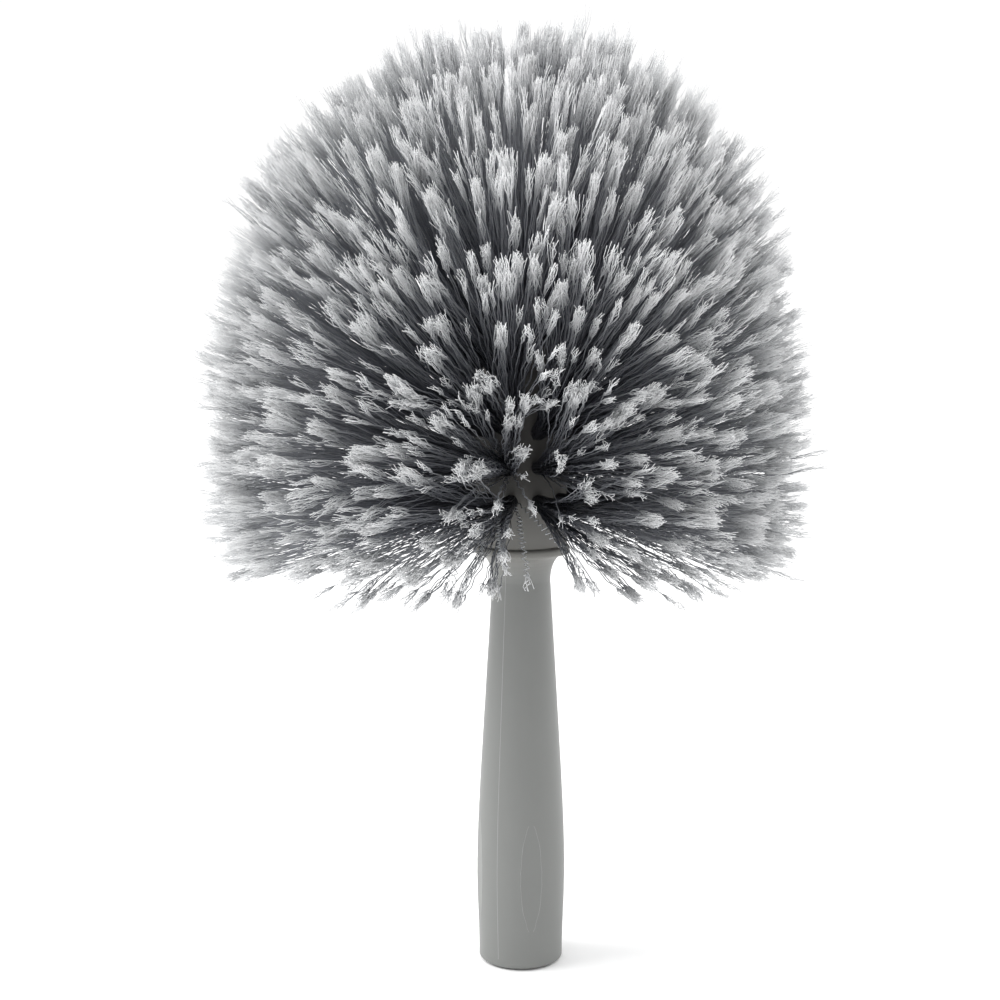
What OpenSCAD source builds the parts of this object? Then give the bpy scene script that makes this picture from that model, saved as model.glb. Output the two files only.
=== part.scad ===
// Cobweb brush head: a moulded grip that takes a pole, a drilled brush block on top
// of it, and a dome of long crimped filaments set into the block in tufts.
// Each tuft is a bundle folded in half round a flat wire anchor at the foot of its hole.
// The origin is the centre of the mouth of the pole socket, and +Z runs up the pole's axis.

/* [Grip] */
// Outer diameter at the mouth of the pole socket
mouth_d = 29; // [28:0.5:30]
// Largest diameter of the barrel, where the hand closes round it
belly_d = 30.7; // [30:0.1:32]
// Height of the largest diameter above the mouth
belly_h = 35; // [30:1:40]
// Height at which the barrel begins to narrow towards the neck
taper_from_h = 45; // [42:1:48]
// How much the radius falls for each millimetre above that height
taper_rate = 0.06; // [0.055:0.001:0.063]
// Height at which the flare under the collar starts
flare_from_h = 134.6; // [132:0.2:137]
// Diameter of the collar that the brush block stands on
collar_d = 33; // [32:0.5:35]
// Thickness of the collar's lip
collar_lip_t = 3; // [2.5:0.5:4]
// Height of the whole grip, from its mouth to the top of the collar
grip_h = 147; // [146:0.5:148]
// Radius on the outer edge of the mouth
mouth_edge_r = 1.2; // [0.6:0.2:2]
// How far the four finger flats are cut into the belly
flat_depth = 0.6; // [0.3:0.05:0.9]
// Turn of the first finger flat from the front, to the right
flat_turn = 13.4; // [0:0.2:45]

/* [Pole socket] */
// Diameter of the pole that the socket takes
pole_d = 22; // [20:0.5:22.5]
// Gap between the pole and the socket on each side
pole_gap = 0.15; // [0.05:0.05:0.3]
// Depth of the pole socket
socket_depth = 75; // [60:1:90]

/* [Brush block] */
// Diameter of the block on the collar
block_d = 31.2; // [30.5:0.1:31.8]
// Height of the block's straight wall above the collar
block_wall_h = 43; // [42:0.5:45]
// Height of its rounded top above the wall
block_top_h = 32; // [31:0.5:34]
// Diameter of the spigot that holds the block in the grip
spigot_d = 14.5; // [12:0.5:15]
// Length of that spigot
spigot_l = 15; // [10:1:20]
// Gap between the spigot and its bore on each side
spigot_gap = 0.05; // [0:0.01:0.1]

/* [Tufts] */
// Diameter of a tuft hole
hole_d = 4.2; // [4:0.1:4.4]
// Depth of a tuft hole
hole_depth = 6.5; // [6:0.1:6.8]
// Half width of the filament dome
dome_r = 102.5; // [98:0.5:106]
// Height of the top of the dome above the grip's mouth
dome_top_z = 317; // [310:1:320]
// Height at which the dome is widest
dome_wide_z = 172; // [168:1:176]
// How far below that height the dome would close, if it went on
dome_under_h = 76; // [70:1:82]
// How much further the filaments lean out on the left than on the right
dome_lean = 6.5; // [0:0.5:8]
// Squareness of the dome's outline, where 2 is an ellipse
dome_square = 2.4; // [2:0.1:3]
// Random unevenness of the filament ends
end_spread = 3.5; // [0:0.5:5]
// Random turn of a strand from its even place, as a part of its tuft's half share
aim_spread = 0.14; // [0:0.01:0.16]
// Random bend of a strand along its length
strand_bend = 1.3; // [0:0.1:1.4]
// Thickness of a strand at its root
root_w = 0.7; // [0.5:0.05:0.8]
// Thickness of a strand where its split end begins
shank_w = 1.5; // [1:0.1:1.8]
// Thickness of the split end at the tip
flag_w = 4; // [2:0.2:4.4]
// Seed of the random spread
seed = 7; // [1:1:99]

/* [Anchors] */
// Length of an anchor, across the hole
anchor_l = 4; // [3.6:0.1:4.1]
// Height of an anchor along the hole
anchor_h = 1.4; // [1:0.1:1.8]
// Thickness of the anchor's flat wire
anchor_t = 0.4; // [0.3:0.05:0.5]
// Filament below the anchor, where the bundle turns back
fold_h = 0.8; // [0.5:0.1:1.2]

/* [Hidden] */
$fn = 72;
// One row of tufts a line: height of its holes above the collar, number of tufts, lowest
// and highest dome angle that it fills, and turn of its first tuft from +X.
rows = [
    [16.5, 11, -24, 0.5, 28],
    [28, 11, 0.5, 11, 28],
    [39.5, 11, 11, 25.5, 28],
    [51, 10, 25.5, 42.5, 10],
    [61.5, 7, 42.5, 59, 12],
    [69.5, 5, 59, 79.5, 40],
    [block_wall_h + block_top_h, 1, 79.5, 100.5, 0]
];
ROW_UP = 0;
ROW_COUNT = 1;
ROW_LOW = 2;
ROW_HIGH = 3;
ROW_TURN = 4;
// Places of a tuft's strands in its share of the dome: across and up, from -1 to 1.
spread = [
    [-0.7, -0.68], [0, -0.76], [0.7, -0.68],
    [-0.36, 0], [0.36, 0],
    [-0.7, 0.68], [0, 0.76], [0.7, 0.68]
];
// The same for the tuft at the very top: turn and distance from the middle.
crown = [for (j = [0 : 6]) [j * 360 / 7, 0.72], [0, 0]];
// Parts of a strand's length at which its cross-sections lie, and its radius at each.
stations = [0, 0.46, 0.86, 1];
strand_r = [root_w / 2, shank_w * 0.4, shank_w / 2, flag_w / 2];
SIDES = 3;

socket_r = pole_d / 2 + pole_gap;
// Room below the end of the spigot
spigot_end_gap = 0.5;
// Chamfer on the block's lower edge, which shows as the dark line on the collar
seam_edge = 0.5;
block_r = block_d / 2;
block_wall_z = grip_h + block_wall_h;
hole_r = hole_d / 2;
foot_r = hole_r - 0.03;
// Least height of a foot's end above the block
foot_proud = 0.3;
// Radius within which the strands start, so that they leave the foot by its end alone
root_spread_r = foot_r - root_w / 2 - 0.42;
// Depth at which a strand starts inside its foot
root_sink = 0.8;
// How far a cutting shape runs past the face that it opens
past = 1;

// Names: one node for each tuft.
function two(n) = n < 10 ? str("0", n) : str(n);
function tuft_name(row, i) = str("tuft_row", row + 1, "_", two(i + 1));

// Grip outline

// A bend that is nearly nothing below 0 and a straight slope above it.
function soft_slope(x, w = 8) = w * ln(1 + exp(x / w));

function barrel_r(z) =
    belly_d / 2
    - taper_rate * soft_slope(z - taper_from_h)
    - (z < belly_h ? (belly_d - mouth_d) / 2 * (1 + cos(180 * z / belly_h)) / 2 : 0);

neck_r = barrel_r(flare_from_h);
lip_r = collar_d / 2;
lip_edge_r = collar_lip_t * 0.4;
flare_h = grip_h - collar_lip_t - flare_from_h;

grip_outline = concat(
    [[0, 0]],
    [for (a = [0 : 15 : 90]) [
        barrel_r(mouth_edge_r) - mouth_edge_r * (1 - sin(a)),
        mouth_edge_r * (1 - cos(a))
    ]],
    [for (z = [5 : 5 : flare_from_h - 3]) [barrel_r(z), z]],
    [for (a = [0 : 10 : 80]) [
        neck_r + (lip_r - lip_edge_r - neck_r) * (1 - cos(a)),
        flare_from_h + flare_h * sin(a)
    ]],
    [for (a = [-90 : 22.5 : 0]) [
        lip_r - lip_edge_r + lip_edge_r * cos(a),
        grip_h - collar_lip_t + lip_edge_r + lip_edge_r * sin(a)
    ]],
    [for (a = [0 : 22.5 : 90]) [
        lip_r - lip_edge_r + lip_edge_r * cos(a),
        grip_h - lip_edge_r + lip_edge_r * sin(a)
    ]],
    [[0, grip_h]]
);

// Grip with the pole socket, the bore for the block's spigot and four finger flats.
module handle() {
    color([0.56, 0.56, 0.54])
    difference() {
        rotate_extrude() polygon(grip_outline);
        translate([0, 0, -past]) cylinder(h = socket_depth + past, r = socket_r);
        translate([0, 0, grip_h - spigot_l - spigot_end_gap])
            cylinder(h = spigot_l + spigot_end_gap + past, r = spigot_d / 2 + spigot_gap);
        for (k = [0 : 3])
            rotate([0, 0, flat_turn - 90 + 90 * k]) finger_flat();
    }
}

// Slab that planes one flat on the barrel, facing +X.
module finger_flat() {
    translate([belly_d / 2 - flat_depth, -belly_d / 2, -past])
        cube([flat_depth + past, belly_d, belly_h * 2 + past]);
}

// Radius of the brush block at a height
function block_r_at(z) = z <= block_wall_z ? block_r
    : block_r * sqrt(max(0, 1 - pow((z - block_wall_z) / block_top_h, 2)));

block_outline = concat(
    [[0, grip_h], [block_r - seam_edge, grip_h], [block_r, grip_h + seam_edge]],
    [for (a = [0 : 7.5 : 90]) [block_r * cos(a), block_wall_z + block_top_h * sin(a)]]
);

// Turn, hole place and aim of each tuft

function tip_r(t) = dome_r * pow(abs(cos(t)), 2 / dome_square);
function tip_z(t) = dome_wide_z
    + (t < 0 ? -dome_under_h : dome_top_z - dome_wide_z) * pow(abs(sin(t)), 2 / dome_square);

function row_z(row) = grip_h + rows[row][ROW_UP];
function row_r(row) = block_r_at(row_z(row));
function row_mid(row) = (rows[row][ROW_LOW] + rows[row][ROW_HIGH]) / 2;
function row_half(row) = (rows[row][ROW_HIGH] - rows[row][ROW_LOW]) / 2;
function is_crown(row) = rows[row][ROW_COUNT] == 1;
// Angle of a row's holes above the horizontal: they point at the middle of its share
function row_aim(row) = is_crown(row) ? 90
    : atan2(tip_z(row_mid(row)) - row_z(row), tip_r(row_mid(row)) - row_r(row));
function tuft_turn(row, i) = rows[row][ROW_TURN] + 360 * i / rows[row][ROW_COUNT];
// Angle of the block's surface normal above the horizontal at a row
function row_normal(row) = row_z(row) <= block_wall_z ? 0
    : is_crown(row) ? 90
    : atan2((row_z(row) - block_wall_z) / pow(block_top_h, 2), row_r(row) / pow(block_r, 2));
// How far a slanting foot stands out, so that its whole end is clear of the block
function foot_out(row) = foot_proud + hole_r * abs(tan(row_aim(row) - row_normal(row)));

module at_hole(row, i) {
    rotate([0, 0, tuft_turn(row, i)])
        translate([row_r(row), 0, row_z(row)])
            rotate([0, 90 - row_aim(row), 0])
                children();
}

// Domed block with a blind hole for every tuft, and the spigot below it.
module brush_block() {
    color([0.52, 0.52, 0.5])
    difference() {
        union() {
            rotate_extrude() polygon(block_outline);
            translate([0, 0, grip_h - spigot_l])
                cylinder(h = spigot_l + past, r = spigot_d / 2);
        }
        for (row = [0 : len(rows) - 1])
            for (i = [0 : rows[row][ROW_COUNT] - 1])
                at_hole(row, i)
                    translate([0, 0, -hole_depth])
                        cylinder(h = hole_depth + foot_out(row) + past, r = hole_r);
    }
}

// Flat wire anchors, one across the foot of every tuft hole.
module tuft_anchors() {
    color([0.78, 0.77, 0.73])
    for (row = [0 : len(rows) - 1])
        for (i = [0 : rows[row][ROW_COUNT] - 1])
            at_hole(row, i) anchor();
}

module anchor() {
    translate([-anchor_t / 2, -anchor_l / 2, fold_h - hole_depth])
        cube([anchor_t, anchor_l, anchor_h]);
}

// Strands: each is a lock of some twenty filaments

// Reach of the dome at an angle t up it and a turn from +X: it leans to the left
function reach(t, turn) = tip_r(t) * (1 - dome_lean / dome_r * cos(turn));

// A point of the dome in the frame of a tuft's hole: angle t up the dome, a from its turn
function in_tuft(row, i, t, a) =
    let (
        r = reach(t, tuft_turn(row, i) + a),
        x = r * cos(a) - row_r(row),
        y = r * sin(a),
        z = tip_z(t) - row_z(row),
        lean = 90 - row_aim(row)
    )
    [x * cos(lean) - z * sin(lean), y, x * sin(lean) + z * cos(lean)];

// A seed of its own for each strand and each thing drawn for it
AIM = 0;
LENGTH = 1;
BEND = 2;
function strand_seed(row, i, j, what) = seed + 10000 * row + 400 * i + 10 * j + what;

// Start of strand j in the plane of the foot
function strand_root(row, j) = is_crown(row)
    ? root_spread_r * crown[j][1] * [cos(crown[j][0]), sin(crown[j][0])]
    : root_spread_r * [-spread[j][1], spread[j][0]];

// Aim of strand j: angle up the dome and turn from the tuft's own turn
function strand_aim(row, i, j) =
    let (off = rands(-aim_spread, aim_spread, 2, strand_seed(row, i, j, AIM)))
    is_crown(row)
    ? [90 - row_half(row) * (crown[j][1] + off[0]), crown[j][0]]
    : [row_mid(row) + row_half(row) * (spread[j][1] + off[0]),
       180 / rows[row][ROW_COUNT] * (spread[j][0] + off[1])];

// End of strand j, a little short of the dome or past it
function strand_end(row, i, j) =
    let (aim = strand_aim(row, i, j), p = in_tuft(row, i, aim[0], aim[1]))
    p * (1 + rands(-end_spread, end_spread, 1, strand_seed(row, i, j, LENGTH))[0] / norm(p));

// Middle line of a strand: straight from root to end, with one bend on the way
function strand_line(row, i, j) =
    let (
        root = [each strand_root(row, j), foot_out(row) - root_sink],
        end = strand_end(row, i, j),
        bend = rands(-strand_bend, strand_bend, 2, strand_seed(row, i, j, BEND))
    )
    [for (s = stations) root + (end - root) * s + [bend[0], bend[1], 0] * sin(180 * s)];

module strand(line, turn) {
    last = len(line) - 1;
    points = [for (k = [0 : last]) for (m = [0 : SIDES - 1])
        line[k] + strand_r[k] * [cos(turn + 360 * m / SIDES), sin(turn + 360 * m / SIDES), 0]];
    walls = [for (k = [0 : last - 1]) for (m = [0 : SIDES - 1]) each let (
            a = k * SIDES + m,
            b = k * SIDES + (m + 1) % SIDES
        )
        [[a, a + SIDES, b + SIDES], [a, b + SIDES, b]]];
    ends = [[for (m = [0 : SIDES - 1]) m], [for (m = [SIDES - 1 : -1 : 0]) last * SIDES + m]];
    polyhedron(points, concat(walls, ends));
}

// The packed foot of a tuft: it fills the hole and turns back round its anchor.
module foot(row) {
    difference() {
        translate([0, 0, -hole_depth]) cylinder(h = hole_depth + foot_out(row), r = foot_r);
        translate([-anchor_t / 2, -hole_d, fold_h - hole_depth])
            cube([anchor_t, hole_d * 2, anchor_h]);
    }
}

module tuft(row, i) {
    color([0.5, 0.51, 0.54])
    at_hole(row, i)
        union() {
            foot(row);
            for (j = [0 : len(is_crown(row) ? crown : spread) - 1])
                strand(strand_line(row, i, j), 90 * j + 7 * i);
        }
}

handle();
brush_block();
tuft_anchors();
for (row = [0 : len(rows) - 1])
    for (i = [0 : rows[row][ROW_COUNT] - 1])
        tuft(row, i);
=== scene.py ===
# %% [markdown]
# # Cobweb brush head
# A grey moulded grip carries a drilled block, and 56 tufts of crimped filaments stand in that block as a dome.
# The grip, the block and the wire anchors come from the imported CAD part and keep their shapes.
# Every tuft of the CAD part is replaced by a full bundle of thin filaments with split ends.

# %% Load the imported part
import math

import bmesh
import bpy
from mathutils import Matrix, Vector


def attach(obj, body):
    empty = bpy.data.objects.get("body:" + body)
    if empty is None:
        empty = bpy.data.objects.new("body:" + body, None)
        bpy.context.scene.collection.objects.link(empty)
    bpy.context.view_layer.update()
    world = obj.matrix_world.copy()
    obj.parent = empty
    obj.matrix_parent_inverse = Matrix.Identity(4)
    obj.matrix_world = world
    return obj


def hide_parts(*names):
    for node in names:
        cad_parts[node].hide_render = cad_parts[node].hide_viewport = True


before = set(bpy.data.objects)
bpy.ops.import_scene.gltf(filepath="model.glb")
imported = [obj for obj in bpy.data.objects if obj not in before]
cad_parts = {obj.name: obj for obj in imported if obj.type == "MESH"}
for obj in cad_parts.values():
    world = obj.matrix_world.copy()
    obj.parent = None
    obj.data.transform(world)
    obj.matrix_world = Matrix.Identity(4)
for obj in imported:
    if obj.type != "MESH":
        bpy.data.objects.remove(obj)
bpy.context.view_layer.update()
MM = 0.001

# %% [markdown]
# ## Camera
# The photograph looks down on the brush by eight degrees, from about 0.63 m. A long lens keeps the dome's
# front and back at nearly one scale. The brush stands a little right of the middle, so the aim lies to its left.

# %% Camera at the photograph's angle
AIM_POINT = Vector((-7.3 * MM, 0, 162 * MM))
CAMERA_DISTANCE = 0.631
CAMERA_ELEVATION = math.radians(8)
FOCAL_LENGTH, SENSOR = 66.6, 36

camera = bpy.data.objects.new("camera", bpy.data.cameras.new("camera"))
camera.data.lens, camera.data.sensor_width = FOCAL_LENGTH, SENSOR
away = Vector((0, -math.cos(CAMERA_ELEVATION), math.sin(CAMERA_ELEVATION)))
camera.location = AIM_POINT + away * CAMERA_DISTANCE
camera.rotation_euler = (-away).to_track_quat("-Z", "Y").to_euler()
bpy.context.scene.collection.objects.link(camera)
bpy.context.scene.camera = camera
print("camera at", [round(x, 3) for x in camera.location])

# %% [markdown]
# ## Studio
# The product was shot in a white tent: soft light from all sides, a little stronger from the left, with the
# front of the grip darker than its edges. A white world that is dimmer towards the camera, where the tent is
# open, gives that light, and three wide lamps and a broad ceiling light shape it. The camera itself sees the
# world as plain white. The floor is pale and matt, and takes the faint shadow that the tent leaves.

# %% Floor, world and lamps
FLOOR_SIZE, FLOOR_DROP, FLOOR_WHITE = 30, 0.5 * MM, (0.97, 0.97, 0.97)
WORLD_LIGHT, OPENING_LIGHT = 1.03, 0.5
OPENING_FROM, OPENING_TO = -0.75, 0.3  # along Y, where the tent opens towards the camera
CEILING_POWER, CEILING_SPREAD = 0.9, math.radians(120)
LAMPS = [
    # name, place in metres, size, power
    ("left_window", (-1.0, -0.1, 1.0), 0.9, 16), ("right_window", (1.1, 0.35, 0.7), 0.9, 4.5),
    ("front_top", (-0.25, -1.1, 0.9), 0.8, 1.6),
]


def flat_material(name, colour, roughness):
    """A plain material for the studio, which isn't part of the brush."""
    material = bpy.data.materials.new(name)
    material.use_nodes = True
    shader = material.node_tree.nodes["Principled BSDF"]
    shader.inputs["Base Color"].default_value = (*colour, 1)
    shader.inputs["Roughness"].default_value = roughness
    return material

floor_mesh = bpy.data.meshes.new("floor")
half = FLOOR_SIZE / 2
floor_mesh.from_pydata([(-half, -half, 0), (half, -half, 0), (half, half, 0), (-half, half, 0)], [], [(0, 1, 2, 3)])
floor_mesh.materials.append(flat_material("studio_floor", FLOOR_WHITE, 0.9))
floor = bpy.data.objects.new("floor", floor_mesh)
floor.location.z = -FLOOR_DROP
bpy.context.scene.collection.objects.link(floor)

world = bpy.data.worlds.new("white_tent")
world.use_nodes = True
sky = world.node_tree
direction = sky.nodes.new("ShaderNodeTexCoord")
split = sky.nodes.new("ShaderNodeSeparateXYZ")
opening = sky.nodes.new("ShaderNodeMapRange")
opening.interpolation_type = "SMOOTHSTEP"
for name, value in (
    ("From Min", OPENING_FROM), ("From Max", OPENING_TO), ("To Min", OPENING_LIGHT), ("To Max", WORLD_LIGHT),
):
    opening.inputs[name].default_value = value
sky.links.new(direction.outputs["Generated"], split.inputs[0])
sky.links.new(split.outputs["Y"], opening.inputs["Value"])
seen = sky.nodes.new("ShaderNodeMix")
seen.inputs["B"].default_value = WORLD_LIGHT
sky.links.new(sky.nodes.new("ShaderNodeLightPath").outputs["Is Camera Ray"], seen.inputs["Factor"])
sky.links.new(opening.outputs[0], seen.inputs["A"])
sky.links.new(seen.outputs["Result"], sky.nodes["Background"].inputs["Strength"])
sky.nodes["Background"].inputs["Color"].default_value = (1, 1, 1, 1)
bpy.context.scene.world = world
bpy.context.scene.view_settings.view_transform = "Standard"

def soft_lamp(name, place, size, power):
    """A square lamp that looks at the middle of the brush."""
    lamp = bpy.data.objects.new(name, bpy.data.lights.new(name, "AREA"))
    lamp.data.size, lamp.data.energy = size, power
    lamp.location = place
    lamp.rotation_euler = (AIM_POINT - Vector(place)).to_track_quat("-Z", "Y").to_euler()
    bpy.context.scene.collection.objects.link(lamp)

for lamp in LAMPS:
    soft_lamp(*lamp)

ceiling = bpy.data.objects.new("ceiling", bpy.data.lights.new("ceiling", "SUN"))
ceiling.data.energy, ceiling.data.angle = CEILING_POWER, CEILING_SPREAD
bpy.context.scene.collection.objects.link(ceiling)

# %% [markdown]
# ## Writing node trees as sums
# Both the shape of a tuft and the finish of the plastic are node trees. Wiring hundreds of Math nodes one by
# one is hard to read, so a small class holds one socket and answers to +, -, * and /. Each sign adds a node.

# %% A socket that can be calculated with
class Wire:
    """One output socket of a tree, with the signs of arithmetic."""

    def __init__(self, tree, socket):
        self.tree, self.socket = tree, socket

    def is_vector(self):
        return self.socket.type in ("VECTOR", "RGBA")

    def new(self, kind, values, **settings):
        return node(self.tree, kind, *values, **settings)

    def maths(self, operation, *others):
        values = [self, *others]
        if any(isinstance(v, (tuple, Vector)) or isinstance(v, Wire) and v.is_vector() for v in values):
            if operation == "MULTIPLY" and not isinstance(others[0], tuple):
                if not isinstance(others[0], Wire) or not others[0].is_vector():
                    return self.new("ShaderNodeVectorMath", [self, None, None, others[0]], operation="SCALE")
            return self.new("ShaderNodeVectorMath", values, operation=operation)
        return self.new("ShaderNodeMath", values, operation=operation)

    def __add__(self, other):
        return self.maths("ADD", other)

    def __radd__(self, other):
        return self.maths("ADD", other)

    def __sub__(self, other):
        return self.maths("SUBTRACT", other)

    def __rsub__(self, other):
        return self.new("ShaderNodeMath", [other, self], operation="SUBTRACT")

    def __mul__(self, other):
        return self.maths("MULTIPLY", other)

    def __rmul__(self, other):
        return self.maths("MULTIPLY", other)

    def __truediv__(self, other):
        return self.maths("DIVIDE", other)

    def power(self, other):
        return self.maths("POWER", other)

    def part(self, axis):
        split = self.tree.nodes.new("ShaderNodeSeparateXYZ")
        self.tree.links.new(self.socket, split.inputs[0])
        return Wire(self.tree, split.outputs[axis])


def node(tree, kind, *values, out=0, **settings):
    """Adds a node, sets its properties, plugs its inputs in order and returns its output by name or number."""
    added = tree.nodes.new(kind)
    for name, value in settings.items():
        setattr(added, name, value)
    inputs = added.inputs if kind == "ShaderNodeVectorMath" else [s for s in added.inputs if s.enabled]
    for socket, value in zip(inputs, values):
        plug(tree, socket, value)
    return Wire(tree, added.outputs[out] if isinstance(out, str) else [s for s in added.outputs if s.enabled][out])


def live(sockets, name):
    """The socket with this name among those in use, as a node keeps one for each kind of value."""
    return [s for s in sockets if s.enabled and s.name == name][0]


def plug(tree, socket, value):
    """Puts a wire or a plain value on an input."""
    if isinstance(value, Wire):
        tree.links.new(value.socket, socket)
    elif value is not None:
        socket.default_value = value


def vector(tree, x, y, z):
    return node(tree, "ShaderNodeCombineXYZ", x, y, z)


print("node helper ready")

# %% [markdown]
# ## The brush's layout
# These are the sizes that the CAD part was made from: the rows of holes in the block, and the dome that the
# filament ends reach. A row's line gives the height of its holes above the collar, its number of tufts, the
# part of the dome that it fills (in degrees up from the widest place) and the turn of its first tuft from +X.

# %% Sizes of the block, the dome and the rows
COLLAR_Z = 147 * MM
BLOCK_R, BLOCK_WALL, BLOCK_TOP = 15.6 * MM, 43 * MM, 32 * MM
HOLE_R, HOLE_DEPTH, HOLE_MARGIN = 2.1 * MM, 6.5 * MM, 0.25 * MM
DOME_R, DOME_TOP_Z, DOME_WIDE_Z, DOME_UNDER = 102.5 * MM, 319.5 * MM, 172 * MM, 76 * MM
DOME_SQUARE, DOME_LEAN = 2.4, 6.5 * MM

ROWS = [
    (16.5, 11, -19.5, 0.5, 28),
    (28, 11, 0.5, 11, 28),
    (39.5, 11, 11, 25.5, 28),
    (51, 10, 25.5, 42.5, 10),
    (61.5, 7, 42.5, 59, 12),
    (69.5, 5, 59, 79.5, 40),
    (75, 1, 79.5, 100.5, 0),
]


def block_radius(z):
    """Radius of the block's outline at a height above the floor."""
    up = (z - COLLAR_Z - BLOCK_WALL) / BLOCK_TOP
    return BLOCK_R * math.sqrt(max(0, 1 - max(0, up) ** 2))


def dome_point(angle):
    """Radius and height of the dome's outline at an angle up from its widest place."""
    side, rise = math.cos(math.radians(angle)), math.sin(math.radians(angle))
    height = -DOME_UNDER if angle < 0 else DOME_TOP_Z - DOME_WIDE_Z
    return DOME_R * abs(side) ** (2 / DOME_SQUARE), DOME_WIDE_Z + height * abs(rise) ** (2 / DOME_SQUARE)


def tuft_places():
    """Every tuft: its CAD node, row, the hole's radius, height and turn, its aim and its share of the dome."""
    for row, (up, count, low, high, turn) in enumerate(ROWS, 1):
        z = COLLAR_Z + up * MM
        r = block_radius(z)
        mid_r, mid_z = dome_point((low + high) / 2)
        aim = math.pi / 2 if count == 1 else math.atan2(mid_z - z, mid_r - r)
        for i in range(count):
            yield {
                "node": f"tuft_row{row}_{i + 1:02d}", "row": row, "crown": count == 1,
                "r": r, "z": z, "turn": math.radians(turn + 360 * i / count), "aim": aim,
                "low": math.radians(low), "high": math.radians(high), "half_turn": math.pi / count,
            }


tufts = list(tuft_places())
print(len(tufts), "tufts in", len(ROWS), "rows")

# %% [markdown]
# ## One tuft as a Geometry Nodes tree
# A real tuft is a bundle of straight filaments folded in half round a wire and driven into its hole. Outside
# the hole the filaments fan out to their share of the dome. Their split ends cling to those of their
# neighbours, so the tuft ends in a dozen or so pale locks with dark gaps between them.
# Modelling eight thousand filaments by hand is out of the question, and a particle system would not end as a
# plain mesh. A tree that computes one end point for each filament, draws a line to it and sweeps a three-sided
# profile along the line does it with few faces, and every size stays a named input.

# %% The tree's inputs
FILAMENTS, SHAFT_STEPS, HAIRS, HAIR_STEPS = 160, 12, 7, 4

INPUTS = [
    ("Hole Radius From Axis", "NodeSocketFloat", 15.6 * MM), ("Hole Height", "NodeSocketFloat", 0.16),
    ("Turn", "NodeSocketFloat", 0.0), ("Aim", "NodeSocketFloat", 0.0),
    ("Share Low", "NodeSocketFloat", 0.0), ("Share High", "NodeSocketFloat", 0.2),
    ("Share Right", "NodeSocketFloat", -0.28), ("Share Left", "NodeSocketFloat", 0.28),
    ("Crown", "NodeSocketFloat", 0.0), ("Locks", "NodeSocketInt", 15),
    ("Filament Radius", "NodeSocketFloat", 0.17 * MM), ("Hair Radius", "NodeSocketFloat", 0.12 * MM),
    ("Crimp", "NodeSocketFloat", 0.42 * MM), ("Hair Curl", "NodeSocketFloat", 0.8 * MM),
    ("Hair Spread", "NodeSocketFloat", 1.0 * MM), ("Unevenness", "NodeSocketFloat", 5 * MM),
    ("Crimp Side", "NodeSocketVector", (0, 0, 0)), ("Sink", "NodeSocketFloat", 0.7 * HOLE_DEPTH),
    ("Seed", "NodeSocketInt", 1), ("Finish", "NodeSocketMaterial", None),
]


def start_tree(name, inputs):
    """An empty geometry tree with the named inputs, and its inputs as wires."""
    tree = bpy.data.node_groups.new(name, "GeometryNodeTree")
    for label, kind, value in inputs:
        made = tree.interface.new_socket(label, in_out="INPUT", socket_type=kind)
        if value is not None:
            made.default_value = value
    tree.interface.new_socket("Geometry", in_out="OUTPUT", socket_type="NodeSocketGeometry")
    source = tree.nodes.new("NodeGroupInput")
    return tree, {label: Wire(tree, source.outputs[label]) for label, _, _ in inputs}


def chance(tree, given, key, number, low=-1.0, high=1.0):
    """A random number for each key, drawn anew for each number."""
    draw = tree.nodes.new("FunctionNodeRandomValue")
    draw.data_type = "FLOAT"
    for name, value in (("Min", low), ("Max", high), ("ID", key), ("Seed", given["Seed"] * 100 + number)):
        plug(tree, live(draw.inputs, name), value)
    return Wire(tree, [s for s in draw.outputs if s.enabled][0])


def captured(tree, geometry, **values):
    """Geometry that carries these values along, and the values as wires."""
    keep = tree.nodes.new("GeometryNodeCaptureAttribute")
    keep.domain = "POINT"
    plug(tree, keep.inputs[0], geometry)
    for name, value in values.items():
        keep.capture_items.new("VECTOR" if value.is_vector() else "FLOAT", name)
        plug(tree, keep.inputs[name], value)
    return Wire(tree, keep.outputs[0]), [Wire(tree, keep.outputs[name]) for name in values]


def sampled(tree, geometry, value, index):
    """The value that a geometry's point with this index has."""
    pick = tree.nodes.new("GeometryNodeSampleIndex")
    pick.data_type = "FLOAT_VECTOR" if value.is_vector() else "FLOAT"
    pick.domain = "POINT"
    for name, given in (("Geometry", geometry), ("Value", value), ("Index", index)):
        plug(tree, live(pick.inputs, name), given)
    return Wire(tree, [s for s in pick.outputs if s.enabled][0])


print(FILAMENTS * len(tufts), "filaments with", HAIRS, "hairs each")

# %% [markdown]
# ### Where the filaments end
# Each filament gets a place in its tuft's share of the dome. The places follow the R2 sequence, which spreads
# points evenly without rows, plus a little chance. A few lock centres are spread in the same way, and each
# filament end is drawn towards the lock nearest to it. The same place, scaled down to the hole, is the root,
# so that neighbours at the root stay neighbours at the tip.

# %% Places on the dome and in the hole
R2_A, R2_B = 0.7548776662, 0.5698402910
LOCK_JITTER, END_JITTER = 0.6, 0.05  # chance added to a lock's and a filament's even place
STRAY_ABOVE, STRAY_UNEVEN = 0.86, 1.4  # one filament in seven keeps clear of the locks and is less even
OWN_PULL, LOCK_PULL = (0.85, 1.0), (0.7, 0.97)  # share of the way to the lock's centre that the tips go
LOCK_LENGTH, OWN_LENGTH = (-1.5, 0.5), (-0.25, 0.1)  # times the unevenness
WANDER, STRAY_WANDER = 0.5 * MM, 6 * MM
LEAVE_STRAIGHT, LEAVE_AHEAD, SAG = 0.16, 0.12, -0.02  # of the length: where the line bends


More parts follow.
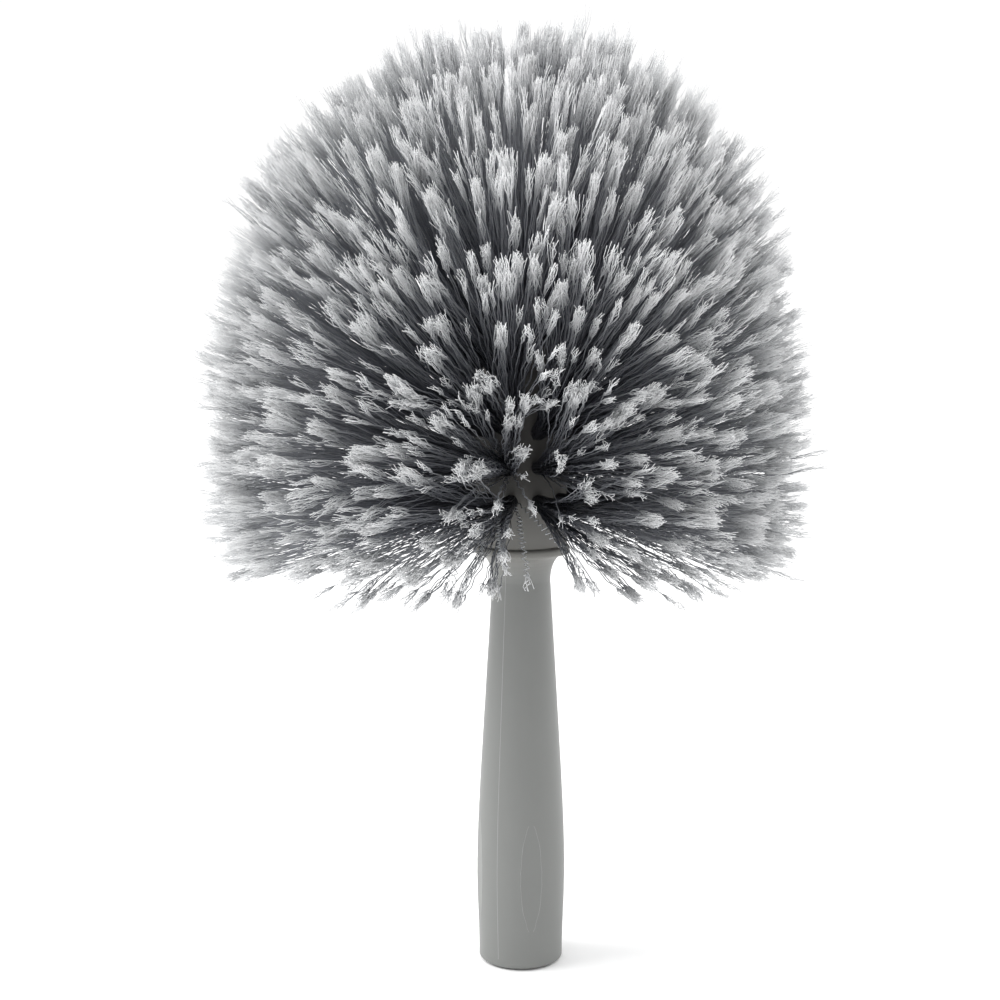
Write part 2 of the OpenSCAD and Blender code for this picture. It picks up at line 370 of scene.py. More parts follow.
def spread_place(tree, given, key, jitter, number):
    """Two numbers from -1 to 1 for each key, evenly spread."""
    shift = chance(tree, given, 0, number, 0.0, 1.0)
    pair = []
    for step, draw in ((R2_A, number + 1), (R2_B, number + 2)):
        even = (key * step + shift).maths("FRACT")
        pair.append((even * 2 - 1 + chance(tree, given, key, draw) * jitter).maths("MAXIMUM", -1).maths("MINIMUM", 1))
    return pair


def in_disc(tree, x, y):
    """A place in a square moved to its place in a disc."""
    return (
        x * (1 - y * y * 0.5).power(0.5),
        y * (1 - x * x * 0.5).power(0.5),
    )


def on_dome(tree, given, x, y):
    """The point of the dome for a place in the tuft's share, in the tuft's own turn."""
    across, up = in_disc(tree, x, y)
    mid = (given["Share Low"] + given["Share High"]) * 0.5
    half_up = (given["Share High"] - given["Share Low"]) * 0.5
    turn_mid = (given["Share Left"] + given["Share Right"]) * 0.5
    half_turn = (given["Share Left"] - given["Share Right"]) * 0.5
    far = (across * across + up * up).power(0.5)
    crown = given["Crown"]
    angle = (mid + y * half_up) * (1 - crown) + (math.pi / 2 - far * half_up) * crown
    turn = (turn_mid + x * half_turn) * (1 - crown) + up.maths("ARCTAN2", across) * crown
    side = angle.maths("COSINE").maths("ABSOLUTE").power(2 / DOME_SQUARE) * DOME_R
    under = angle.maths("LESS_THAN", 0)
    rise = under * -DOME_UNDER + (1 - under) * (DOME_TOP_Z - DOME_WIDE_Z)
    height = angle.maths("SINE").maths("ABSOLUTE").power(2 / DOME_SQUARE) * rise + DOME_WIDE_Z
    lean = 1 - (turn + given["Turn"]).maths("COSINE") * (DOME_LEAN / DOME_R)
    side = side * lean
    return vector(tree, side * turn.maths("COSINE"), side * turn.maths("SINE"), height)


def in_hole(tree, given, x, y, depth):
    """The point in the hole for a place in the tuft's share, at a depth below the block's surface."""
    across, up = in_disc(tree, x, y)
    crown = given["Crown"]
    side = (across * (1 - crown) + up * crown) * (HOLE_R - HOLE_MARGIN)
    rise = (up * (1 - crown) - across * crown) * (HOLE_R - HOLE_MARGIN)
    cos, sin = given["Aim"].maths("COSINE"), given["Aim"].maths("SINE")
    return vector(
        tree,
        given["Hole Radius From Axis"] - rise * sin - cos * depth,
        side,
        given["Hole Height"] + rise * cos - sin * depth,
    )


def filament_ends(tree, given):
    """One point for each filament at its end, carrying its root and the place that its line bends towards."""
    number = node(tree, "GeometryNodeInputIndex")
    locks = node(tree, "GeometryNodePoints", given["Locks"], vector(tree, 0, 0, 0))
    lock_x, lock_y = spread_place(tree, given, number, LOCK_JITTER, 1)
    locks = node(tree, "GeometryNodeSetPosition", locks, None, on_dome(tree, given, lock_x, lock_y))
    ends = node(tree, "GeometryNodePoints", FILAMENTS, vector(tree, 0, 0, 0))
    x, y = spread_place(tree, given, number, END_JITTER, 5)
    free = on_dome(tree, given, x, y)
    nearest = tree.nodes.new("GeometryNodeSampleNearest")
    plug(tree, nearest.inputs["Geometry"], locks)
    plug(tree, nearest.inputs["Sample Position"], free)
    lock = Wire(tree, nearest.outputs[0])
    centre = sampled(tree, locks, node(tree, "GeometryNodeInputPosition"), lock)
    stray = chance(tree, given, number, 9, 0.0, 1.0).maths("GREATER_THAN", STRAY_ABOVE)
    pull = chance(tree, given, number, 10, *OWN_PULL) * chance(tree, given, lock, 17, *LOCK_PULL) * (1 - stray)
    root = in_hole(tree, given, x, y, 0.0)
    along = free - root
    length = node(tree, "ShaderNodeVectorMath", along, operation="LENGTH", out="Value")
    short = (
        chance(tree, given, lock, 11, *LOCK_LENGTH) * given["Unevenness"]
        + chance(tree, given, number, 12, *OWN_LENGTH) * given["Unevenness"] * (1 + stray * STRAY_UNEVEN)
    )
    wander = vector(tree, *(chance(tree, given, number, draw) for draw in (13, 14, 15)))
    end = root + along * (1 + short / length) + wander * (WANDER + stray * STRAY_WANDER)
    gather = (centre - free) * pull
    cos, sin = given["Aim"].maths("COSINE"), given["Aim"].maths("SINE")
    straight = vector(tree, cos, 0, sin) * (length * LEAVE_STRAIGHT)
    bend = root + straight + along * LEAVE_AHEAD + vector(tree, 0, 0, length * SAG)
    return captured(tree, ends, root=root, bend=bend, end=end, gather=gather)


print("ends are spread by the R2 sequence and gathered in locks")

# %% [markdown]
# ### From end points to filaments
# A filament is one line with a profile swept along it. The line runs from inside the hole along a smooth curve
# to the place where the end splits. Moulded crimps show as a zigzag: every second point steps to the other
# side. The split end is seven finer hairs that start inside the filament's end and spread as they go.
# A UV map is written on the way: U runs from root to tip and V is a narrow band for each filament, so the
# finish can darken the roots as painted shade, whiten the tips and tint each filament by itself.

# %% Lines, sweeps and the UV map
SPLIT_AT, HAIR_SUNK = 0.91, 0.012  # of the length: where the end splits, and how far its hairs reach back
GATHER_POWER = 4
PROFILE_SIDES = 3
BAND_START, BAND_STEP = 0.2, 0.3  # the sides of one filament stay in its own band of V


def copies(tree, steps, amount):
    """This many straight lines of that many points, and the number of each line."""
    line = node(tree, "GeometryNodeCurvePrimitiveLine", (0, 0, 0), (0, 0, 1))
    line = node(tree, "GeometryNodeResampleCurve", line, None, steps)
    copy = tree.nodes.new("GeometryNodeDuplicateElements")
    copy.domain = "SPLINE"
    plug(tree, copy.inputs["Geometry"], line)
    plug(tree, copy.inputs["Amount"], amount)
    return Wire(tree, copy.outputs["Geometry"]), Wire(tree, copy.outputs["Duplicate Index"])


def on_curve(ends, carried, tree, number, s):
    """The point of a filament at s from its root (0) to its tip (1), and the direction there."""
    root, bend, end, gather = (sampled(tree, ends, value, number) for value in carried)
    r = 1 - s
    place = root * (r * r) + bend * (r * s * 2) + end * (s * s) + gather * s.power(GATHER_POWER)
    ahead = (bend - root) * (r * 2) + (end - bend) * (s * 2) + gather * (s.power(GATHER_POWER - 1) * GATHER_POWER)
    return place, node(tree, "ShaderNodeVectorMath", ahead, operation="NORMALIZE")


def sweep(tree, lines, radius, along, band):
    """A three-sided tube along each line, with the UV map that the finish reads."""
    lines, (along, band) = captured(tree, lines, along=along, band=band)
    ring = node(tree, "GeometryNodeCurvePrimitiveCircle", PROFILE_SIDES)
    ring, (part,) = captured(tree, ring, part=node(tree, "GeometryNodeInputIndex") * 1.0)
    tube = node(tree, "GeometryNodeCurveToMesh", lines, ring, radius, True)
    store = tree.nodes.new("GeometryNodeStoreNamedAttribute")
    store.data_type, store.domain = "FLOAT2", "CORNER"
    plug(tree, store.inputs["Geometry"], tube)
    plug(tree, store.inputs["Name"], "OFBake")
    value = vector(tree, along, (band + BAND_START + part * BAND_STEP) / FILAMENTS, 0)
    plug(tree, live(store.inputs, "Value"), value)
    return Wire(tree, store.outputs[0])


def finished(tree, shape, given):
    """Turns the shape to its place, makes it real, gives it its finish and ends the tree."""
    turn = tree.nodes.new("GeometryNodeTransform")
    plug(tree, turn.inputs["Geometry"], shape)
    plug(tree, turn.inputs["Rotation"], vector(tree, 0, 0, given["Turn"]))
    whole = node(tree, "GeometryNodeRealizeInstances", Wire(tree, turn.outputs[0]))
    whole = node(tree, "GeometryNodeSetShadeSmooth", whole)
    last = tree.nodes.new("GeometryNodeSetMaterial")
    plug(tree, last.inputs["Geometry"], whole)
    plug(tree, last.inputs["Material"], given["Finish"])
    result = tree.nodes.new("NodeGroupOutput")
    tree.links.new(last.outputs[0], result.inputs[0])
    return tree


SHAFT_SPACING = 0.8  # under 1, the points of a shaft lie closer towards its split end
CRIMP_CHANCE, CRIMP_ONSET = (0.5, 1.3), 5
HAIR_LENGTH = (0.8, 1.03)
HAIR_ROOT, HAIR_TAPER, CURL_ONSET = 1.05, 0.2, 3


def build_tree(name, find_ends, count, steps):
    """A tree that draws this many filaments to the ends that find_ends gives."""
    tree, given = start_tree(name, INPUTS)
    ends, carried = find_ends(tree, given)
    index = node(tree, "GeometryNodeInputIndex")
    # Shafts
    lines, number = copies(tree, steps, count)
    lines, (number, s) = captured(tree, lines, number=number, s=node(tree, "GeometryNodeSplineParameter"))
    along = s.power(SHAFT_SPACING) * SPLIT_AT
    place, ahead = on_curve(ends, carried, tree, number, along)
    axis = vector(tree, *(chance(tree, given, number, draw) for draw in (21, 22, 23))) + given["Crimp Side"]
    across = node(tree, "ShaderNodeVectorMath", ahead, axis, operation="CROSS_PRODUCT")
    across = node(tree, "ShaderNodeVectorMath", across, operation="NORMALIZE")
    even = (index * 0.5).maths("FRACT") * 4 - 1
    zigzag = even * chance(tree, given, index, 24, *CRIMP_CHANCE) * given["Crimp"]
    fade = (along * CRIMP_ONSET).maths("MINIMUM", 1)
    sunk = s.maths("LESS_THAN", 0.001) * given["Sink"]
    cos, sin = given["Aim"].maths("COSINE"), given["Aim"].maths("SINE")
    place = place + across * (zigzag * fade) - vector(tree, cos, 0, sin) * sunk
    lines = node(tree, "GeometryNodeSetPosition", lines, None, place)
    shafts = sweep(tree, lines, given["Filament Radius"], along, number)
    # Split ends
    lines, hair = copies(tree, HAIR_STEPS, count * HAIRS)
    lines, (hair, s) = captured(tree, lines, hair=hair, s=node(tree, "GeometryNodeSplineParameter"))
    owner = (hair / HAIRS).maths("FLOOR")
    reach = 1 - SPLIT_AT
    along = (SPLIT_AT - HAIR_SUNK) + s * (reach + HAIR_SUNK) * chance(tree, given, hair, 31, *HAIR_LENGTH)
    place, ahead = on_curve(ends, carried, tree, owner, along)
    axis = vector(tree, *(chance(tree, given, hair, draw) for draw in (32, 33, 34)))
    across = node(tree, "ShaderNodeVectorMath", ahead, axis, operation="CROSS_PRODUCT")
    curl = vector(tree, *(chance(tree, given, index, draw) for draw in (35, 36, 37)))
    out = across * s * given["Hair Spread"] + curl * (s * CURL_ONSET).maths("MINIMUM", 1) * given["Hair Curl"]
    lines = node(tree, "GeometryNodeSetPosition", lines, None, place + out)
    radius = given["Hair Radius"] * (HAIR_ROOT - s * HAIR_TAPER)
    hairs = sweep(tree, lines, radius, along, owner)
    # One mesh, turned to its place on the block
    both = tree.nodes.new("GeometryNodeJoinGeometry")
    for part in (hairs, shafts):
        tree.links.new(part.socket, both.inputs[0])
    return finished(tree, Wire(tree, both.outputs[0]), given)


tuft_tree = build_tree("tuft_of_filaments", filament_ends, FILAMENTS, SHAFT_STEPS)
print("tuft tree:", len(tuft_tree.nodes), "nodes")

# %% [markdown]
# ## Filament finish
# The filaments are extruded plastic, blue-grey and a little shiny, and almost white where they are split,
# because the fine hairs scatter the light. One ramp along U carries that change. It also runs nearly black
# at the roots and dark along the shafts, as painted shade for the shadow deep inside the dome. Chance along V
# gives each filament its own shade, and a finer pattern breaks up the pale ends.

# %% Material of the filaments
def principled(name):
    """A new material, its tree and its shader."""
    material = bpy.data.materials.new(name)
    material.use_nodes = True
    return material, material.node_tree, material.node_tree.nodes["Principled BSDF"]


def ramp(tree, value, *stops):
    """A colour ramp with these (place, colour) stops."""
    made = tree.nodes.new("ShaderNodeValToRGB")
    plug(tree, made.inputs[0], value)
    while len(made.color_ramp.elements) < len(stops):
        made.color_ramp.elements.new(0.5)
    for element, (place, colour) in zip(made.color_ramp.elements, stops):
        element.position = place
        element.color = (*colour, 1)
    return Wire(tree, made.outputs[0])


SHADE_ALONG, SHADE_ACROSS = 3, 0.9  # noise cells along one filament and from one filament to the next
SHADE_SHIFT, SHADE_RANGE, SHADE_LOW = 0.05, 0.5, 0.75


def filament_finish(name, *stops):
    """Plastic filament with these (place along it, colour) stops and a shade of its own for each filament."""
    material, tree, shader = principled(name)
    uv = Wire(tree, tree.nodes.new("ShaderNodeUVMap").outputs[0])
    uv.socket.node.uv_map = "OFBake"
    along, band = uv.part(0), uv.part(1)
    noise = tree.nodes.new("ShaderNodeTexNoise")
    plug(tree, noise.inputs["Vector"], vector(tree, along * SHADE_ALONG, band * FILAMENTS * SHADE_ACROSS, 0))
    plug(tree, noise.inputs["Scale"], 1.0)
    plug(tree, noise.inputs["Detail"], 2.0)
    own = Wire(tree, noise.outputs[0])
    body = ramp(tree, along + (own - 0.5) * SHADE_SHIFT, *stops)
    plug(tree, shader.inputs["Base Color"], body * (own * SHADE_RANGE + SHADE_LOW))
    shader.inputs["Roughness"].default_value = 0.55
    shader.inputs["Specular IOR Level"].default_value = 0.35
    return material


# Painted shade: the real filaments are mid-grey all along. This ramp makes the roots nearly black and the lower
# shafts dark, for the shadow inside the dome. The pale split ends are their own colour.
filament_material = filament_finish(
    "crimped_filament",
    (0.0, (0.022, 0.023, 0.026)), (0.30, (0.045, 0.049, 0.059)), (0.60, (0.15, 0.158, 0.180)),
    (0.89, (0.31, 0.32, 0.34)), (0.945, (0.70, 0.71, 0.72)), (1.0, (0.93, 0.935, 0.94)),
)
print("finish:", filament_material.name)

# %% [markdown]
# ## Making the tufts
# The tree runs once for each hole, with that hole's place and share of the dome. The result is copied to a
# plain mesh, the modifier goes, and the mesh takes the place of the CAD part's simpler tuft.
# The two tufts at the front of the lowest row stand apart, and the collar shows between them.

# %% Run the tree for every hole
LOCK_SIZES = {1: 8 * MM, 2: 7 * MM, 3: 7 * MM, 4: 7.5 * MM, 5: 7.5 * MM, 6: 7.5 * MM, 7: 8 * MM}
FEWEST_LOCKS = 5
MINGLE_TURN, MINGLE_UP = 1.15, 0.14  # a tuft's share grows into its neighbours' shares by this much
CROWN_ROWS, CROWN_TURN, CROWN_UP = (6, 7), 0.92, -0.04
FRONT_SHARES = {1: math.radians(10.5), 2: math.radians(15)}  # beside the gap at the front of these rows
LEFT_OF_GAP, RIGHT_OF_GAP = range(250, 260), range(285, 295)  # degrees of the tufts beside it
FIRST_SEED = 11


def shares(place):
    """The turns that a tuft fills on its right and left, from its own turn."""
    mingle = CROWN_TURN if place["row"] in CROWN_ROWS else MINGLE_TURN
    right, left = -place["half_turn"] * mingle, place["half_turn"] * mingle
    degrees = int(math.degrees(place["turn"]) % 360)
    if place["row"] in FRONT_SHARES and degrees in LEFT_OF_GAP:
        left = FRONT_SHARES[place["row"]]
    if place["row"] in FRONT_SHARES and degrees in RIGHT_OF_GAP:
        right = -FRONT_SHARES[place["row"]]
    return right, left


def grown(name, tree, values, seedbed=None):
    """Runs a tree with these input values and returns what it makes as a plain mesh object."""
    sockets = {item.name: item.identifier for item in tree.interface.items_tree if item.in_out == "INPUT"}
    holder = bpy.data.objects.new("holder", seedbed or bpy.data.meshes.new("holder"))
    bpy.context.scene.collection.objects.link(holder)
    modifier = holder.modifiers.new("grow", "NODES")
    modifier.node_group = tree
    for label, value in values.items():
        modifier[sockets[label]] = value
    graph = bpy.context.evaluated_depsgraph_get()
    mesh = bpy.data.meshes.new_from_object(holder.evaluated_get(graph), depsgraph=graph)
    bpy.data.objects.remove(holder)
    mesh.name = name
    piece = bpy.data.objects.new(name, mesh)
    bpy.context.scene.collection.objects.link(piece)
    return piece


def make_tuft(place, seed):
    """The full tuft of one hole, in place of the CAD part's tuft."""
    right, left = shares(place)
    extra = (place["high"] - place["low"]) * (CROWN_UP if place["row"] in CROWN_ROWS else MINGLE_UP)
    low = place["low"] - (extra if place["row"] > 1 else 0)
    high = place["high"] + extra
    side = DOME_R * math.cos((place["low"] + place["high"]) / 2)
    size = abs(side * (left - right) * (place["high"] - place["low"]) * DOME_R)
    if place["crown"]:
        size = math.pi * (DOME_R * (place["high"] - place["low"]) / 2) ** 2
    values = {
        "Hole Radius From Axis": place["r"], "Hole Height": place["z"], "Turn": place["turn"],
        "Aim": place["aim"], "Share Low": low, "Share High": high,
        "Share Right": right, "Share Left": left, "Crown": float(place["crown"]),
        "Locks": max(FEWEST_LOCKS, round(size / LOCK_SIZES[place["row"]] ** 2)),
        "Seed": seed, "Finish": filament_material,
    }
    piece = grown("filaments_" + place["node"][5:], tuft_tree, values)
    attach(piece, "root")
    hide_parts(place["node"])
    return piece


pieces = [make_tuft(place, FIRST_SEED + number) for number, place in enumerate(tufts)]
faces = [sum(len(p.vertices) - 2 for p in piece.data.polygons) for piece in pieces]
print("tufts:", len(pieces), "triangles:", sum(faces), "largest:", max(faces))

# %% [markdown]
# ## Stray filaments
# A few filaments of the lowest row leave their bundle, hang over the collar or stick out under the dome, and
# show their crimp, a zigzag of about four millimetres, and the fluff of their split ends. Which ones stray is
# an accident, so their ends are listed one by one and the same tree draws them with more points each. Seen alone,
# out of the others' shadow, they are lighter, so they have a ramp of their own.

# %% Listed strays
STRAY_STEPS, STRAY_SEED, STRAY_DEPTH, STRAY_BOW_AT = 36, 90, 0.5, 0.45
STRAYS = [
    # tuft of row 1, end in mm, height of the bow between
    (8, (1.2, -85, 147.1), 7), (7, (-7.1, -80, 154.5), 3), (7, (-13.8, -75, 152.8), 4),
    (6, (-23.9, -50, 135.7), 8), (6, (-25.5, -54, 138.5), 7), (9, (67.9, -30, 133.4), 8),
    (9, (58.0, -42, 136.5), 6), (5, (-81.0, -20, 139.8), 5), (4, (-84.0, 10, 141.5), 4),
    (10, (86.0, -6, 142.0), 5), (8, (22.0, -72, 143.0), 5), (6, (-52.0, -48, 138.0), 6),
]


def stray_ends(tree, given):
    """The ends of the strays, read from the points that the tree is given."""
    source = [n for n in tree.nodes if n.type == "GROUP_INPUT"][0]
    socket = tree.interface.new_socket("Strays", in_out="INPUT", socket_type="NodeSocketGeometry")
    tree.interface.move(socket, 0)
    values = {}
    for name in ("root", "bend", "end"):
        read = tree.nodes.new("GeometryNodeInputNamedAttribute")
        read.data_type = "FLOAT_VECTOR"
        read.inputs["Name"].default_value = name
        values[name] = Wire(tree, [s for s in read.outputs if s.enabled][0])
    values["gather"] = vector(tree, 0, 0, 0)
    return captured(tree, Wire(tree, source.outputs["Strays"]), **values)


def stray_points():
    """A mesh with one point for each stray, which carries its root, bend and end."""
    rows = {"root": [], "bend": [], "end": []}
    for tuft, end, bow in STRAYS:
        place = [p for p in tufts if p["node"] == f"tuft_row1_{tuft:02d}"][0]
        out = Vector((math.cos(place["turn"]), math.sin(place["turn"]), 0))
        root = out * (place["r"] - STRAY_DEPTH * HOLE_DEPTH) + Vector((0, 0, place["z"]))
        end = Vector(end) * MM
        rows["root"].append(root)
        rows["bend"].append(root.lerp(end, STRAY_BOW_AT) + Vector((0, 0, bow * MM)))
        rows["end"].append(end)
    mesh = bpy.data.meshes.new("stray_points")
    mesh.from_pydata(rows["end"], [], [])
    for name, values in rows.items():
        layer = mesh.attributes.new(name, "FLOAT_VECTOR", "POINT")
        for item, value in zip(layer.data, values):
            item.vector = value
    return mesh


# Painted light and shade: the same plastic as the tufts, dark only at the root and lighter along the shaft, for a
# filament out of the others' shadow.
stray_material = filament_finish(
    "stray_filament",
    (0.0, (0.03, 0.032, 0.036)), (0.12, (0.10, 0.11, 0.12)), (0.40, (0.34, 0.355, 0.375)),
    (0.85, (0.52, 0.535, 0.55)), (0.93, (0.78, 0.79, 0.80)), (1.0, (0.93, 0.935, 0.94)),
)
stray_tree = build_tree("stray_filaments", stray_ends, len(STRAYS), STRAY_STEPS)
strays = grown("stray_filaments", stray_tree, {
    "Sink": 0.0, "Crimp": 0.9 * MM, "Crimp Side": (0.0, -3.0, 0.0), "Filament Radius": 0.2 * MM,
    "Hair Radius": 0.15 * MM, "Hair Curl": 0.9 * MM, "Hair Spread": 1.0 * MM, "Seed": STRAY_SEED,
    "Finish": stray_material,
}, stray_points())
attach(strays, "root")
print("strays:", len(STRAYS), "triangles:", sum(len(p.vertices) - 2 for p in strays.data.polygons))

# %% [markdown]
# ## Plastic of the grip and the block
# Both are injection moulded in the same grey, with the same faint mottling from the tool's surface and the
# same rubbed, rougher look where hands and filaments touch it. That effect is a node group, placed in each
# material with its own values. The same range of heights is also darkened in colour. On the grip under the collar
# and on the block among the tufts this is painted shade, and the block's grey is set darker than the grip's as
# painted shade too.

# %% Group for a moulded surface
BROAD_MOTTLE, RUBBED, GRAIN_HEIGHT, BROAD_HEIGHT = 2, 0.2, 0.7, 0.3
DARKENING_LOW, DARKENING_RANGE, DARKENING_ROUGH = 0.7, 0.6, 0.25


def moulded_group():
    """The shader group for moulded plastic: colour, roughness and height that change over the surface."""
    group = bpy.data.node_groups.new("moulded_surface", "ShaderNodeTree")
    for label, kind, value in (
        ("Colour", "NodeSocketColor", (0.3, 0.3, 0.29, 1)), ("Mottle", "NodeSocketFloat", 0.06),
        ("Mottle Scale", "NodeSocketFloat", 60.0), ("Grain Scale", "NodeSocketFloat", 2500.0),
        ("Roughness", "NodeSocketFloat", 0.42), ("Darkening Colour", "NodeSocketColor", (0.13, 0.115, 0.095, 1)),
        ("Darkening From", "NodeSocketFloat", 0.136), ("Darkening To", "NodeSocketFloat", 0.146),
        ("Darkening Amount", "NodeSocketFloat", 0.4),
    ):
        group.interface.new_socket(label, in_out="INPUT", socket_type=kind).default_value = value
    outputs = (("Colour", "NodeSocketColor"), ("Roughness", "NodeSocketFloat"), ("Height", "NodeSocketFloat"))
    for label, kind in outputs:
        group.interface.new_socket(label, in_out="OUTPUT", socket_type=kind)
    source = group.nodes.new("NodeGroupInput")
    result = group.nodes.new("NodeGroupOutput")
    given = {s.name: Wire(group, s) for s in source.outputs if s.name}
    place = Wire(group, group.nodes.new("ShaderNodeTexCoord").outputs["Object"])

    def noise(scale, detail):
        made = group.nodes.new("ShaderNodeTexNoise")
        plug(group, made.inputs["Vector"], place)
        plug(group, made.inputs["Scale"], scale)
        made.inputs["Detail"].default_value = detail
        return Wire(group, made.outputs[0])

    broad, grain = noise(given["Mottle Scale"], 4), noise(given["Grain Scale"], 2)
    light = 1 + (broad - 0.5) * given["Mottle"] * BROAD_MOTTLE + (grain - 0.5) * given["Mottle"]
    # A darkening between two heights, which also roughens. On the grip and the block it is painted shade.
    climb = (place.part(2) - given["Darkening From"]) / (given["Darkening To"] - given["Darkening From"])
    darkening = climb.maths("MAXIMUM", 0).maths("MINIMUM", 1) * given["Darkening Amount"] * (DARKENING_LOW + broad * DARKENING_RANGE)
    undarkened, darkened_colour = given["Colour"] * light, given["Darkening Colour"] * light
    plug(group, result.inputs["Colour"], undarkened * (1 - darkening) + darkened_colour * darkening)
    plug(group, result.inputs["Roughness"], given["Roughness"] + (broad - 0.5) * RUBBED + darkening * DARKENING_ROUGH)
    plug(group, result.inputs["Height"], grain * GRAIN_HEIGHT + broad * BROAD_HEIGHT)
    return group


def moulded_plastic(name, colour, mottle, roughness, depth, darkening, metallic=0.0):
    """A plastic with the moulded surface, bumps this deep and a darkening between two heights as (colour, from, to,
    amount).
    """
    material, tree, shader = principled(name)
    group = tree.nodes.new("ShaderNodeGroup")
    group.node_tree = moulded
    group.inputs["Colour"].default_value = (*colour, 1)
    group.inputs["Mottle"].default_value = mottle
    group.inputs["Roughness"].default_value = roughness
    group.inputs["Darkening Colour"].default_value = (*darkening[0], 1)
    for label, value in zip(("Darkening From", "Darkening To", "Darkening Amount"), darkening[1:]):
        group.inputs[label].default_value = value
    shader.inputs["Metallic"].default_value = metallic
    tree.links.new(group.outputs["Colour"], shader.inputs["Base Color"])
    tree.links.new(group.outputs["Roughness"], shader.inputs["Roughness"])
    bump = tree.nodes.new("ShaderNodeBump")
    bump.inputs["Distance"].default_value = depth
    tree.links.new(group.outputs["Height"], bump.inputs["Height"])
    tree.links.new(bump.outputs[0], shader.inputs["Normal"])
    return material


moulded = moulded_group()
print("group outputs:", [s.name for s in moulded.interface.items_tree if s.in_out == "OUTPUT"])

# %% Finish the CAD pieces
def dress(name, material):
    """Gives a CAD node's object a finish in every slot."""
    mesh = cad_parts[name].data
    if not mesh.materials:
        mesh.materials.append(material)
    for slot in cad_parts[name].material_slots:
        slot.material = material


# Painted shade: over the top 10 mm under the collar the grip turns darker and warmer. This stands for the dome's
# shadow, with a warm cast of painted reflected light.
GRIP_PAINTED_SHADE = ((0.135, 0.122, 0.104), COLLAR_Z - 11 * MM, COLLAR_Z - 1 * MM, 0.45)
grip_grey = moulded_plastic("grip_grey", (0.190, 0.195, 0.188), 0.05, 0.45, 0.03 * MM, GRIP_PAINTED_SHADE)
# Painted shade: the block is moulded in the grip's grey but is given a darker grey here. It darkens further from 4 mm
# to 26 mm above the collar, for the shadow among the tufts.
block_grey_painted_shade = moulded_plastic(
    "block_grey_painted_shade", (0.128, 0.126, 0.117), 0.06, 0.5, 0.03 * MM,
    darkening=((0.035, 0.033, 0.031), COLLAR_Z + 4 * MM, COLLAR_Z + 26 * MM, 0.8),
)
# The anchors turn darker and warmer towards the top of the block's wall.
anchor_steel = moulded_plastic(
    "anchor_steel", (0.60, 0.585, 0.56), 0.08, 0.32, 0.005 * MM,
    darkening=((0.25, 0.22, 0.19), COLLAR_Z, COLLAR_Z + BLOCK_WALL, 0.2), metallic=1.0,
)
dress("handle", grip_grey)
dress("brush_block", block_grey_painted_shade)
dress("tuft_anchors", anchor_steel)
print("dressed: handle, brush_block, tuft_anchors")

# %% [markdown]
# ## Fine lines of the grip
# The two halves of the grip's mould met in a plane, and the plastic crept a little way between them: a fine
# raised line runs up each side. The four finger flats end in rounded edges that catch the light in the same way.
# The lines are given a lighter grey than the grip, a painted highlight for the light they catch.
# Both kinds of line follow the grip's surface, so one tree lays them. It looks at the grip from outside, level
# by level, to find its radius. A line on the round surface keeps that radius. A flat's edge lies where the
# round surface meets the flat, and there is none above or below the flat.

# %% A tree that lays a line on the grip
LINE_INPUTS = [
    ("Grip", "NodeSocketObject", None), ("Turn", "NodeSocketFloat", 0.0), ("Side", "NodeSocketFloat", 0.0),
    ("Flat Distance", "NodeSocketFloat", 1.0), ("Low", "NodeSocketFloat", 3 * MM),
    ("High", "NodeSocketFloat", 138 * MM), ("Levels", "NodeSocketInt", 90),
    ("Line Radius", "NodeSocketFloat", 0.2 * MM),
    ("Sink", "NodeSocketFloat", 0.14 * MM), ("Finish", "NodeSocketMaterial", None),
]
LOOK_FROM, CLEAR_TURN = 0.1, math.radians(58.4)  # a turn midway between two flats
LINE_SIDES = 6


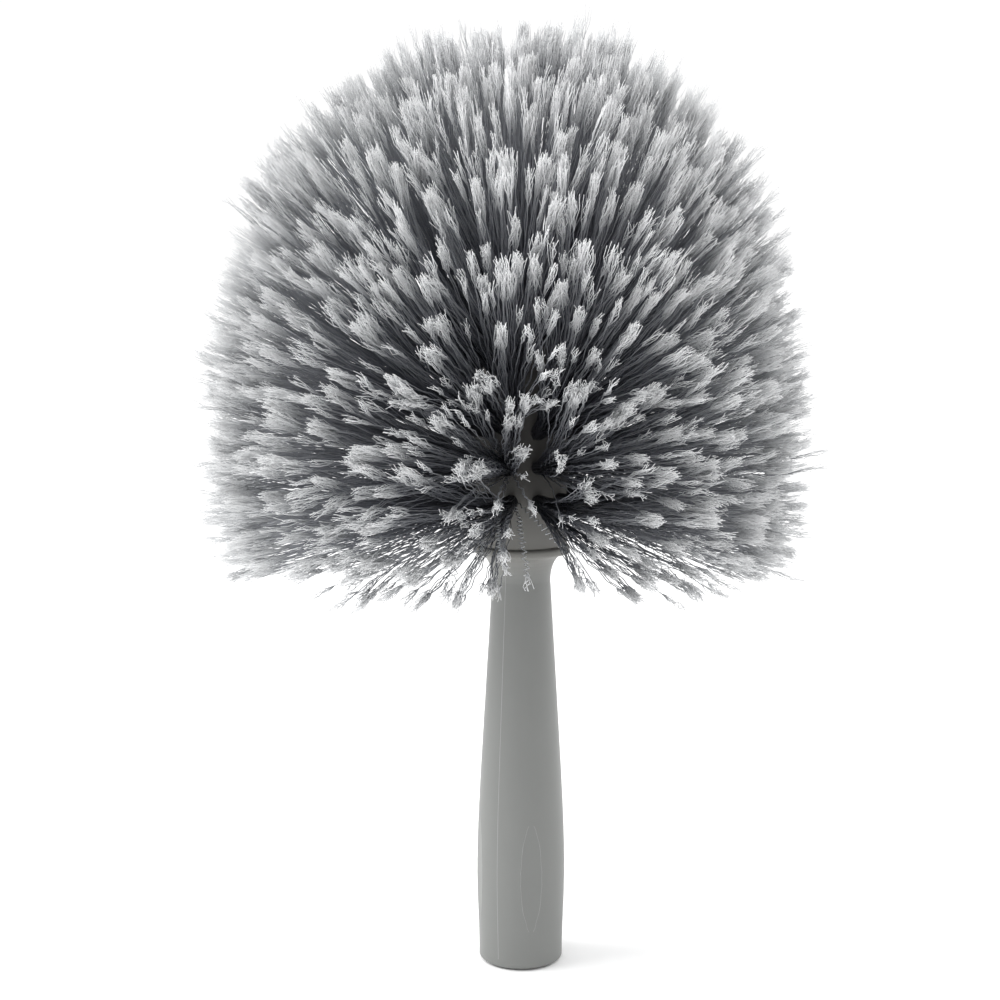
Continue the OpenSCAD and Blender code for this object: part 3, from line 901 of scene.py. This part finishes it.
def build_line_tree():
    """A tree that lays one fine line on the grip, from level to level."""
    tree, given = start_tree("line_on_grip", LINE_INPUTS)
    low, high = (vector(tree, 0, 0, given[name]) for name in ("Low", "High"))
    line = node(tree, "GeometryNodeCurvePrimitiveLine", low, high)
    line = node(tree, "GeometryNodeResampleCurve", line, None, given["Levels"])
    height = node(tree, "GeometryNodeInputPosition").part(2)
    grip = node(tree, "GeometryNodeObjectInfo", given["Grip"], out="Geometry")
    cos, sin = math.cos(CLEAR_TURN), math.sin(CLEAR_TURN)
    ray = tree.nodes.new("GeometryNodeRaycast")
    plug(tree, ray.inputs["Target Geometry"], grip)
    plug(tree, ray.inputs["Source Position"], vector(tree, cos * LOOK_FROM, sin * LOOK_FROM, height))
    plug(tree, ray.inputs["Ray Direction"], (-cos, -sin, 0))
    plug(tree, ray.inputs["Ray Length"], LOOK_FROM)
    hit = Wire(tree, ray.outputs["Hit Position"])
    x, y = hit.part(0), hit.part(1)
    radius = (x * x + y * y).power(0.5)
    out = radius.maths("MINIMUM", given["Flat Distance"])
    aside = given["Side"] * (radius * radius - out * out).maths("MAXIMUM", 0).power(0.5)
    line, (round_part,) = captured(tree, line, round_part=radius.maths("LESS_THAN", given["Flat Distance"]))
    line = node(tree, "GeometryNodeSetPosition", line, None, vector(tree, out - given["Sink"], aside, height))
    off = tree.nodes.new("GeometryNodeDeleteGeometry")
    off.domain = "POINT"
    plug(tree, off.inputs["Geometry"], line)
    plug(tree, off.inputs["Selection"], round_part * given["Side"].maths("ABSOLUTE"))
    ring = node(tree, "GeometryNodeCurvePrimitiveCircle", LINE_SIDES)
    tube = node(tree, "GeometryNodeCurveToMesh", Wire(tree, off.outputs[0]), ring, given["Line Radius"], True)
    return finished(tree, tube, given)


line_tree = build_line_tree()
print("line tree:", len(line_tree.nodes), "nodes")

# %% Lay the lines
PARTING_TURN = math.radians(237)
FLAT_TURN, FLAT_COUNT, FLAT_DEPTH, BELLY_R = math.radians(13.4), 4, 0.6 * MM, 15.35 * MM


def joined(name, parts):
    """One piece made of several, on the grip."""
    shape = bmesh.new()
    for part in parts:
        shape.from_mesh(part.data)
    mesh = bpy.data.meshes.new(name)
    shape.to_mesh(mesh)
    shape.free()
    mesh.materials.append(parts[0].data.materials[0])
    for part in parts:
        bpy.data.objects.remove(part)
    piece = bpy.data.objects.new(name, mesh)
    bpy.context.scene.collection.objects.link(piece)
    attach(piece, "root")
    return piece


# Painted highlight: a lighter grey than the grip, for the light on the raised lines and rounded edges. Near the
# collar they share the grip's painted shade.
painted_highlight_grey = moulded_plastic("painted_highlight_grey", (0.30, 0.305, 0.30), 0.05, 0.4, 0.01 * MM, GRIP_PAINTED_SHADE)
common = {"Grip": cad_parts["handle"], "Finish": painted_highlight_grey}
parting = joined("parting_line", [
    grown("half", line_tree, {**common, "Turn": PARTING_TURN + half * math.pi}) for half in (0, 1)
])
edges = joined("flat_edges", [
    grown("edge", line_tree, {
        **common, "Turn": FLAT_TURN + k * math.tau / FLAT_COUNT, "Side": side,
        "Flat Distance": BELLY_R - FLAT_DEPTH, "Line Radius": 0.15 * MM, "Sink": 0.12 * MM,
    })
    for k in range(FLAT_COUNT) for side in (-1.0, 1.0)
])
print("lines:", [(p.name, len(p.data.polygons)) for p in (parting, edges)])
